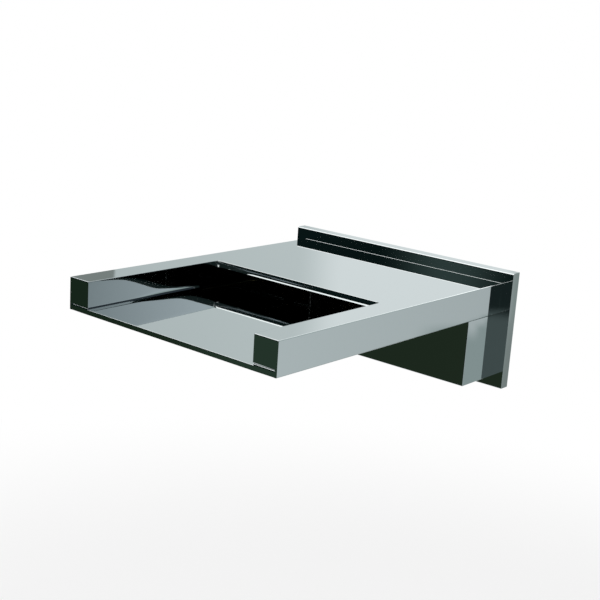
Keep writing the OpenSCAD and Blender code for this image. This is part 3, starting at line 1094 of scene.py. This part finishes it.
def smooth_by_angle() -> bpy.types.NodeTree:
    """Returns the node group that shades faces smooth and keeps corners sharp.

    Returns:
        The group, made on the first call.
    """
    name = "smooth_by_angle"
    made = bpy.data.node_groups.get(name)
    if made:
        return made
    made = bpy.data.node_groups.new(name, "GeometryNodeTree")
    made.interface.new_socket("Geometry", in_out="INPUT", socket_type="NodeSocketGeometry")
    made.interface.new_socket("Geometry", in_out="OUTPUT", socket_type="NodeSocketGeometry")
    graph = Graph(made)
    shape = graph.node("NodeGroupInput").outputs[0]
    angle = graph.node("GeometryNodeInputMeshEdgeAngle").outputs["Unsigned Angle"]
    gentle = graph.math("LESS_THAN", angle, math.radians(SHARP_ANGLE))
    faces = graph.node("GeometryNodeSetShadeSmooth", {"Geometry": shape}, domain="FACE")
    edges = graph.node(
        "GeometryNodeSetShadeSmooth", {"Geometry": faces.outputs[0], "Shade Smooth": gentle}, domain="EDGE"
    )
    graph.node("NodeGroupOutput", {0: edges.outputs[0]})
    return made


def finish_node(node: str, slot: Slot, edge: float = 0.12 * MM) -> None:
    """Dresses one of the model's own nodes, whose shape stays as it is.

    Args:
        node: The node's name.
        slot: Its material slot.
        edge: The width of the bevel on its corners.
    """
    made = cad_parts[node]
    made.data.materials.clear()
    made.data.materials.append(FINISHES[slot].material())
    made.modifiers.new("joined_points", "WELD").merge_threshold = TOUCH
    if edge:
        bevel = made.modifiers.new("broken_edges", "BEVEL")
        bevel.width, bevel.segments, bevel.limit_method = edge, 2, "ANGLE"
        bevel.angle_limit = math.radians(SHARP_ANGLE)
        bevel.use_clamp_overlap = True
    made.modifiers.new("smooth", "NODES").node_group = smooth_by_angle()
    made.modifiers.new("even_normals", "WEIGHTED_NORMAL").keep_sharp = True
    log.info("%s: model's own shape in %s", node, slot.value)


@dataclass
class WallSide:
    """The wall plate and what lies in its hollow back."""

    skin: float = 2.0 * MM
    top_edge: float = 1.3 * MM
    back_edge: float = 0.3 * MM
    spigot_hole: float = 10.0 * MM
    stud_hole: float = 4.5 * MM
    spigot_sides: int = 96

    def build(self) -> None:
        """Makes the plate, and dresses the bracket, the studs and the gasket."""
        low, high = corners("wall_plate")
        plate = Solid(Vector((low.x, low.y, low.z)), Vector((high.x, low.y, high.z)))
        inside_x = high.x - self.skin
        inside_z = (low.z + self.skin, high.z - self.skin)
        plate.cut(0, (-inside_x, inside_x))
        plate.cut(2, inside_z)
        plate.draw_out(1, self.skin)
        plate.draw_out(
            1, high.y - low.y - self.skin,
            lambda c: near(c.y, low.y + self.skin)
            and (abs(c.x) > inside_x or not inside_z[0] < c.z < inside_z[1]),
        )
        stud_low, stud_high = corners("stud_right")
        stud_x = (stud_low.x + stud_high.x) / 2
        front, back = low.y - MM, low.y + self.skin + MM
        holes = [
            rod(self.stud_hole, Vector((x, front, 0)), Vector((x, back, 0))) for x in (-stud_x, stud_x)
        ]
        spigot = Vector((0, front, 0)), Vector((0, back, 0))
        plate.take_away([rod(self.spigot_hole, *spigot, self.spigot_sides), *holes])
        plate.simplify()
        plate.round_edges(lambda c: near(c.y, low.y) and near(c.z, high.z), self.top_edge, 6, along=0)
        plate.round_edges(lambda c: near(c.y, low.y) and near(c.z, low.z), self.back_edge, along=0)
        plate.round_edges(
            lambda c: near(c.y, low.y) and near(abs(c.x), high.x), self.back_edge, along=2
        )
        plate.round_edges(
            lambda c: near(c.y, high.y) and (near(abs(c.x), high.x) or on_level(c.z, low.z, high.z)),
            self.back_edge,
        )
        plate.bevel(
            plate.edges(lambda c: near(abs(c.x), high.x) and on_level(c.z, low.z, high.z)), self.back_edge
        )
        plate.piece("wall_cover_plate", Slot.CHROME, "wall_plate")
        finish_node("wall_gasket", Slot.RUBBER, 0.3 * MM)
        for node in ("wall_bracket", "stud_left", "stud_right", "set_screws"):
            finish_node(node, Slot.STEEL)


def on_level(value: float, low: float, high: float) -> bool:
    """Returns whether a place is at either end of a range."""
    return near(value, low) or near(value, high)


@dataclass
class Inlet:
    """The threaded adapter, its strainer and its o-rings."""

    spigot_radius: float = 9.0 * MM
    water_radius: float = 6.0 * MM
    seat_radius: float = 7.9775 * MM
    seat_y: float = 13.0 * MM
    groove_radius: float = 7.55 * MM
    groove_width: float = 1.95 * MM
    groove_first: float = -12.0 * MM
    groove_step: float = 5.0 * MM
    hex_front: float = -4.5 * MM
    hex_across: float = 23.955 * MM
    hex_chamfer: float = 0.8 * MM
    crest_radius: float = 10.4775 * MM
    pitch: float = 1.814 * MM
    root_radius: float = 9.3155 * MM
    thread_start: float = 0.4 * MM
    thread_end: float = 14.0 * MM
    end_chamfer: float = 1.0 * MM
    sides: int = 96
    pitch_parts: int = 14
    ridge_crest: float = 0.1
    ridge_foot: float = 0.45
    run_out: float = 0.4

    def build(self) -> None:
        """Makes the adapter and dresses the strainer and the o-rings."""
        self.make_body().piece("threaded_adapter", Slot.BRASS, "inlet_adapter")
        finish_node("inlet_strainer", Slot.PLASTIC, 0.08 * MM)
        finish_node("o_rings", Slot.RUBBER, 0.0)

    def turned(self, profile: list[tuple[float, float]]) -> Mesh:
        """Makes a turned shape about the inlet's axis.

        Args:
            profile: Its closed section, as radius and Y.

        Returns:
            The mesh.
        """
        mesh = bmesh.new()
        face = mesh.faces.new([mesh.verts.new((radius, y, 0.0)) for radius, y in profile])
        geom = [*face.verts, *face.edges]
        bmesh.ops.delete(mesh, geom=[face], context="FACES_ONLY")
        bmesh.ops.spin(
            mesh, geom=geom, cent=(0, 0, 0), axis=(0, 1, 0), angle=math.tau, steps=self.sides,
            use_merge=True,
        )
        bmesh.ops.remove_doubles(mesh, verts=mesh.verts, dist=MERGE)
        bmesh.ops.recalc_face_normals(mesh, faces=mesh.faces)
        return mesh

    def make_body(self) -> Solid:
        """Returns the adapter, turned in one piece and then given its hexagon and thread.

        Returns:
            The shape.
        """
        low, high = corners("inlet_adapter")
        tip = self.end_chamfer
        flat = self.hex_across / 2
        face = flat - self.hex_chamfer
        fall = self.hex_chamfer / 2
        outside = [(self.spigot_radius - tip, low.y), (self.spigot_radius, low.y + tip)]
        for middle in (self.groove_first - self.groove_step, self.groove_first):
            start, end = middle - self.groove_width / 2, middle + self.groove_width / 2
            outside += [(self.spigot_radius, start), (self.groove_radius, start)]
            outside += [(self.groove_radius, end), (self.spigot_radius, end)]
        outside += [(self.spigot_radius, self.hex_front), (face, self.hex_front)]
        outside += [(flat, self.hex_front + fall), (flat, -fall), (face, 0.0), (self.root_radius, 0.0)]
        length = self.thread_end - self.thread_start
        count = round(length / self.pitch * self.pitch_parts)
        outside += [(self.root_radius, self.thread_start + length * i / count) for i in range(count + 1)]
        outside += [(self.root_radius, high.y - tip / 2), (self.root_radius - tip / 2, high.y)]
        inside = [(self.seat_radius, high.y), (self.seat_radius, self.seat_y)]
        inside += [(self.water_radius, self.seat_y), (self.water_radius, low.y)]
        body = Solid.from_mesh(self.turned(outside + inside))
        body.shift(self.shape)
        return body

    def shape(self, place: Vector) -> Vector:
        """Returns the step that brings a turned point to its place on the hexagon or the thread.

        Args:
            place: The point.

        Returns:
            The step from its place.
        """
        radius = math.hypot(place.x, place.z)
        turn = math.atan2(place.x, place.z)
        flat = self.hex_across / 2
        wanted, y = radius, place.y
        if near(radius, flat):
            side = math.tau / 6
            wanted = flat / math.cos((turn + side / 2) % side - side / 2)
            fall = (wanted - flat + self.hex_chamfer) / 2
            y = self.hex_front + fall if y < self.hex_front / 2 else -fall
        elif near(radius, self.root_radius) and self.thread_start < y < self.thread_end:
            off_crest = abs((y / self.pitch - turn / math.tau) % 1.0 - 0.5)
            ridge = (self.ridge_foot - off_crest) / (self.ridge_foot - self.ridge_crest)
            fade = min(y - self.thread_start, self.thread_end - y) / (self.run_out * self.pitch)
            depth = self.crest_radius - self.root_radius
            wanted += depth * min(1.0, max(0.0, ridge)) * min(1.0, fade)
        grown = wanted / radius - 1.0
        return Vector((place.x * grown, y - place.y, place.z * grown))


def main() -> None:
    """Builds the spout from the trough to the wall, and the studio round it."""
    logging.basicConfig(level=logging.INFO, format="%(message)s")
    low, high = (Vector(c) for c in cad_box)
    Studio(centre=(low + high) / 2).build()
    Slab().build()
    Housing().build()
    WallSide().build()
    Inlet().build()


if __name__ == "__main__":
    main()
